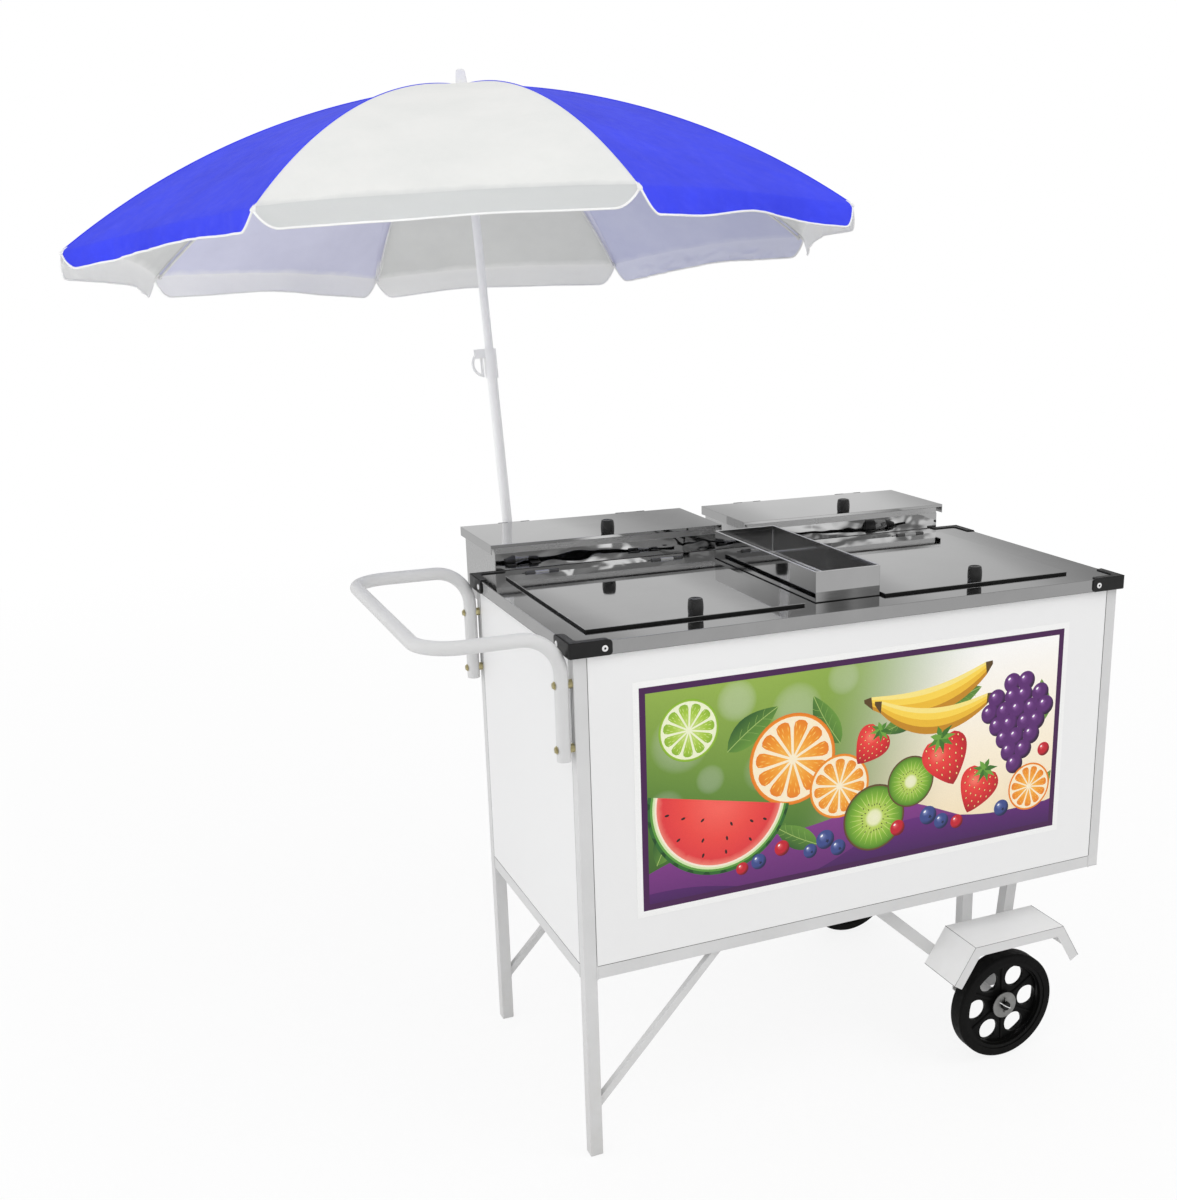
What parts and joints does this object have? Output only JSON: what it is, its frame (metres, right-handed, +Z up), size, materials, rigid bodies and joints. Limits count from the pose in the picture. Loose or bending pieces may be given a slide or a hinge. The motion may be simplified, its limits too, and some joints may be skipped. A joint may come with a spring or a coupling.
{
  "type": "fruit salad cart",
  "caption": "Hand-pushed fruit salad cart: steel body with printed banner, stainless worktop with lidded tubs, rear boxes, tray, push handle, two wheels and a folding parasol.",
  "frame": {"origin": "on the floor, under the middle of the whole cart with its parasol open", "axes": "+X from the handle end to the wheel end, +Y from the banner side to the parasol side, +Z up"},
  "size_m": [1.8846, 1.8234, 2.0347],
  "materials": {
    "frame_paint": "light grey gloss paint on steel tube",
    "panel_paint": "white gloss paint on steel sheet",
    "stainless": "polished stainless sheet, mirror bright",
    "banner_print": "printed vinyl sheet with a purple border and a plain fruit pattern",
    "black_plastic": "satin black moulded plastic",
    "black_rubber": "black rubber",
    "wheel_plastic": "black moulded wheel",
    "tyre_rubber": "solid black rubber tyre",
    "zinc": "yellow zinc plated steel",
    "rivet_white": "pale painted rivet heads",
    "plain_steel": "plain grey steel",
    "white_plastic": "white moulded plastic",
    "cloth": "blue and white coated cloth panels with white piping",
    "rib_steel": "white coated steel wire"
  },
  "bodies": {
    "cart": {"corner_posts": "frame_paint", "frame_rails": "frame_paint", "frame_struts": "frame_paint", "front_panel": "panel_paint", "rear_panel": "panel_paint", "end_panels": "panel_paint", "floor_panel": "panel_paint", "banner": "banner_print", "worktop": "stainless", "corner_guards": "black_plastic", "guard_rivets": "rivet_white", "handle": "frame_paint", "handle_bolts": "zinc", "handle_spacers": "zinc", "front_tubs": "stainless", "rear_boxes": "stainless", "lid_hinges": "stainless", "axle": "plain_steel", "axle_fittings": "plain_steel", "fenders": "frame_paint", "umbrella_socket": "frame_paint"},
    "wheel_near": {"wheel_near": "wheel_plastic", "tyre_near": "tyre_rubber"},
    "wheel_far": {"wheel_far": "wheel_plastic", "tyre_far": "tyre_rubber"},
    "lid_front_left": {"lid_front_left": "stainless", "seal_front_left": "black_rubber", "knob_front_left": "black_plastic"},
    "lid_front_right": {"lid_front_right": "stainless", "seal_front_right": "black_rubber", "knob_front_right": "black_plastic"},
    "lid_rear_left": {"lid_rear_left": "stainless", "knob_rear_left": "black_plastic"},
    "lid_rear_right": {"lid_rear_right": "stainless", "knob_rear_right": "black_plastic"},
    "tray": {"tray": "stainless"},
    "lower_pole": {"pole_lower": "frame_paint", "height_collar": "white_plastic"},
    "clamp_lever": {"clamp_lever": "white_plastic"},
    "upper_pole": {"pole_upper": "frame_paint", "crown": "white_plastic", "finial": "white_plastic", "canopy": "cloth"},
    "runner": {"runner": "white_plastic"},
    "rib_1": {"rib_1": "rib_steel"},
    "stretcher_1": {"stretcher_1": "rib_steel"},
    "rib_2": {"rib_2": "rib_steel"},
    "stretcher_2": {"stretcher_2": "rib_steel"},
    "rib_3": {"rib_3": "rib_steel"},
    "stretcher_3": {"stretcher_3": "rib_steel"},
    "rib_4": {"rib_4": "rib_steel"},
    "stretcher_4": {"stretcher_4": "rib_steel"},
    "rib_5": {"rib_5": "rib_steel"},
    "stretcher_5": {"stretcher_5": "rib_steel"},
    "rib_6": {"rib_6": "rib_steel"},
    "stretcher_6": {"stretcher_6": "rib_steel"},
    "rib_7": {"rib_7": "rib_steel"},
    "stretcher_7": {"stretcher_7": "rib_steel"},
    "rib_8": {"rib_8": "rib_steel"},
    "stretcher_8": {"stretcher_8": "rib_steel"}
  },
  "joints": [
    {"name": "near_wheel_spin", "type": "hinge", "parent": "cart", "child": "wheel_near", "pos_m": [0.66778, -0.88421, 0.1176], "axis": [0, 1, 0], "continuous": true},
    {"name": "far_wheel_spin", "type": "hinge", "parent": "cart", "child": "wheel_far", "pos_m": [0.66778, -0.22521, 0.1176], "axis": [0, 1, 0], "continuous": true},
    {"name": "front_left_lid_hinge", "type": "hinge", "parent": "cart", "child": "lid_front_left", "pos_m": [0.01028, -0.31322, 1.025], "axis": [-1, 0, 0], "range_deg": [0, 100]},
    {"name": "front_right_lid_hinge", "type": "hinge", "parent": "cart", "child": "lid_front_right", "pos_m": [0.62578, -0.31322, 1.025], "axis": [-1, 0, 0], "range_deg": [0, 100]},
    {"name": "rear_left_lid_hinge", "type": "hinge", "parent": "cart", "child": "lid_rear_left", "pos_m": [0.04578, -0.01371, 1.0725], "axis": [-1, 0, 0], "range_deg": [0, 95]},
    {"name": "rear_right_lid_hinge", "type": "hinge", "parent": "cart", "child": "lid_rear_right", "pos_m": [0.62978, -0.01371, 1.0725], "axis": [-1, 0, 0], "range_deg": [0, 95]},
    {"name": "tray_lift", "type": "slide", "parent": "cart", "child": "tray", "axis": [0, 0, 1], "range_m": [0, 0.15]},
    {"name": "umbrella_swivel", "type": "hinge", "parent": "cart", "child": "lower_pole", "pos_m": [-0.09822, 0.01328, 1.02], "axis": [-0.0236, 0.1132, 0.9933], "continuous": true},
    {"name": "clamp_lever_pivot", "type": "hinge", "parent": "lower_pole", "child": "clamp_lever", "pos_m": [-0.1362, 0.06119, 1.4405], "axis": [0, 0.9936, -0.1132], "range_deg": [0, 110]},
    {"name": "umbrella_height", "type": "slide", "parent": "lower_pole", "child": "upper_pole", "axis": [-0.0236, 0.1132, 0.9933], "range_m": [0, 0.25]},
    {"name": "runner_slide", "type": "slide", "parent": "upper_pole", "child": "runner", "axis": [-0.0236, 0.1132, 0.9933], "range_m": [-0.41099, 0], "deforming": ["canopy"]},
    {"name": "rib_1_hinge", "type": "hinge", "parent": "upper_pole", "child": "rib_1", "pos_m": [-0.10116, 0.12448, 1.98582], "axis": [-0.0575, 0.9918, -0.1144], "range_deg": [0, 67.32]},
    {"name": "stretcher_1_hinge", "type": "hinge", "parent": "runner", "child": "stretcher_1", "pos_m": [-0.09946, 0.12031, 1.89982], "axis": [-0.0575, 0.9918, -0.1144], "range_deg": [-67.32, 0]},
    {"name": "rib_2_hinge", "type": "hinge", "parent": "upper_pole", "child": "rib_2", "pos_m": [-0.10782, 0.13816, 1.98411], "axis": [-0.7464, 0.659, -0.0928], "range_deg": [0, 67.32]},
    {"name": "stretcher_2_hinge", "type": "hinge", "parent": "runner", "child": "stretcher_2", "pos_m": [-0.10997, 0.13212, 1.89822], "axis": [-0.7464, 0.659, -0.0928], "range_deg": [-67.32, 0]},
    {"name": "rib_3_hinge", "type": "hinge", "parent": "upper_pole", "child": "rib_3", "pos_m": [-0.12227, 0.14312, 1.9832], "axis": [-0.9981, -0.0599, -0.0169], "range_deg": [0, 67.32]},
    {"name": "stretcher_3_hinge", "type": "hinge", "parent": "runner", "child": "stretcher_3", "pos_m": [-0.12584, 0.13306, 1.89774], "axis": [-0.9981, -0.0599, -0.0169], "range_deg": [-67.32, 0]},
    {"name": "rib_4_hinge", "type": "hinge", "parent": "upper_pole", "child": "rib_4", "pos_m": [-0.13605, 0.13647, 1.98363], "axis": [-0.665, -0.7436, 0.0689], "range_deg": [0, 67.32]},
    {"name": "stretcher_4_hinge", "type": "hinge", "parent": "runner", "child": "stretcher_4", "pos_m": [-0.13775, 0.12258, 1.89865], "axis": [-0.665, -0.7436, 0.0689], "range_deg": [-67.32, 0]},
    {"name": "rib_5_hinge", "type": "hinge", "parent": "upper_pole", "child": "rib_5", "pos_m": [-0.14108, 0.12209, 1.98515], "axis": [0.0575, -0.9918, 0.1144], "range_deg": [0, 67.32]},
    {"name": "stretcher_5_hinge", "type": "hinge", "parent": "runner", "child": "stretcher_5", "pos_m": [-0.13873, 0.10681, 1.90042], "axis": [0.0575, -0.9918, 0.1144], "range_deg": [-67.32, 0]},
    {"name": "rib_6_hinge", "type": "hinge", "parent": "upper_pole", "child": "rib_6", "pos_m": [-0.13442, 0.10842, 1.98686], "axis": [0.7464, -0.659, 0.0928], "range_deg": [0, 67.32]},
    {"name": "stretcher_6_hinge", "type": "hinge", "parent": "runner", "child": "stretcher_6", "pos_m": [-0.12822, 0.095, 1.90202], "axis": [0.7464, -0.659, 0.0928], "range_deg": [-67.32, 0]},
    {"name": "rib_7_hinge", "type": "hinge", "parent": "upper_pole", "child": "rib_7", "pos_m": [-0.11997, 0.10345, 1.98777], "axis": [0.9981, 0.0599, 0.0169], "range_deg": [0, 67.32]},
    {"name": "stretcher_7_hinge", "type": "hinge", "parent": "runner", "child": "stretcher_7", "pos_m": [-0.11235, 0.09406, 1.9025], "axis": [0.9981, 0.0599, 0.0169], "range_deg": [-67.32, 0]},
    {"name": "rib_8_hinge", "type": "hinge", "parent": "upper_pole", "child": "rib_8", "pos_m": [-0.10619, 0.11011, 1.98734], "axis": [0.665, 0.7436, -0.0689], "range_deg": [0, 67.32]},
    {"name": "stretcher_8_hinge", "type": "hinge", "parent": "runner", "child": "stretcher_8", "pos_m": [-0.10044, 0.10455, 1.90159], "axis": [0.665, 0.7436, -0.0689], "range_deg": [-67.32, 0]}
  ],
  "couplings": [
    {"joint": "rib_1_hinge", "follows": "runner_slide", "rad_per_m": -2.858},
    {"joint": "stretcher_1_hinge", "follows": "runner_slide", "rad_per_m": 2.858},
    {"joint": "rib_2_hinge", "follows": "runner_slide", "rad_per_m": -2.858},
    {"joint": "stretcher_2_hinge", "follows": "runner_slide", "rad_per_m": 2.858},
    {"joint": "rib_3_hinge", "follows": "runner_slide", "rad_per_m": -2.858},
    {"joint": "stretcher_3_hinge", "follows": "runner_slide", "rad_per_m": 2.858},
    {"joint": "rib_4_hinge", "follows": "runner_slide", "rad_per_m": -2.858},
    {"joint": "stretcher_4_hinge", "follows": "runner_slide", "rad_per_m": 2.858},
    {"joint": "rib_5_hinge", "follows": "runner_slide", "rad_per_m": -2.858},
    {"joint": "stretcher_5_hinge", "follows": "runner_slide", "rad_per_m": 2.858},
    {"joint": "rib_6_hinge", "follows": "runner_slide", "rad_per_m": -2.858},
    {"joint": "stretcher_6_hinge", "follows": "runner_slide", "rad_per_m": 2.858},
    {"joint": "rib_7_hinge", "follows": "runner_slide", "rad_per_m": -2.858},
    {"joint": "stretcher_7_hinge", "follows": "runner_slide", "rad_per_m": 2.858},
    {"joint": "rib_8_hinge", "follows": "runner_slide", "rad_per_m": -2.858},
    {"joint": "stretcher_8_hinge", "follows": "runner_slide", "rad_per_m": 2.858}
  ]
}
